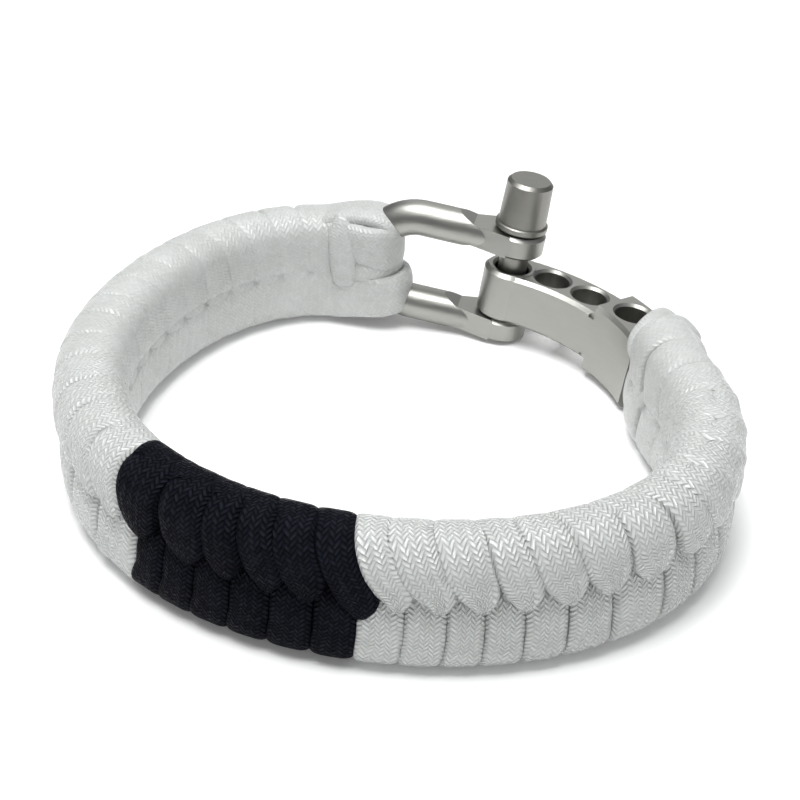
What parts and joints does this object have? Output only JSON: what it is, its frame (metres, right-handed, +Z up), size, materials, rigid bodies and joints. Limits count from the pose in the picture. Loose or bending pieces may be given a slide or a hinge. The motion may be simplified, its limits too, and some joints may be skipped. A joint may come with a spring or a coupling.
{
  "type": "paracord bracelet with adjustable bow shackle",
  "caption": "Fishtail-woven paracord bracelet, white with a black section, closed by an adjustable steel bow shackle with a screw pin.",
  "frame": {"origin": "middle of the loop seen from above, on the floor the bracelet lies on", "axes": "+Z up along the wrist axis, +Y from the front of the weave towards the shackle, +X towards the adjuster bar's side"},
  "size_m": [0.0795, 0.0802, 0.024],
  "materials": {
    "white_cord": "braided sheath, slightly glossy",
    "black_cord": "braided sheath, slightly glossy",
    "shackle_steel": "satin",
    "pin_steel": "satin",
    "bar_steel": "satin"
  },
  "bodies": {
    "band": {"weave_white_bow": "white_cord", "weave_black": "black_cord", "weave_white_bar": "white_cord", "cord_loops_bow": "white_cord", "cord_loops_bar": "white_cord", "shackle_bow": "shackle_steel", "adjuster_bar": "bar_steel"},
    "pin": {"screw_pin": "pin_steel"}
  },
  "joints": [
    {"name": "pin_withdrawal", "type": "slide", "parent": "band", "child": "pin", "axis": [0.1184, 0, 0.993], "range_m": [0, 0.0145]}
  ]
}
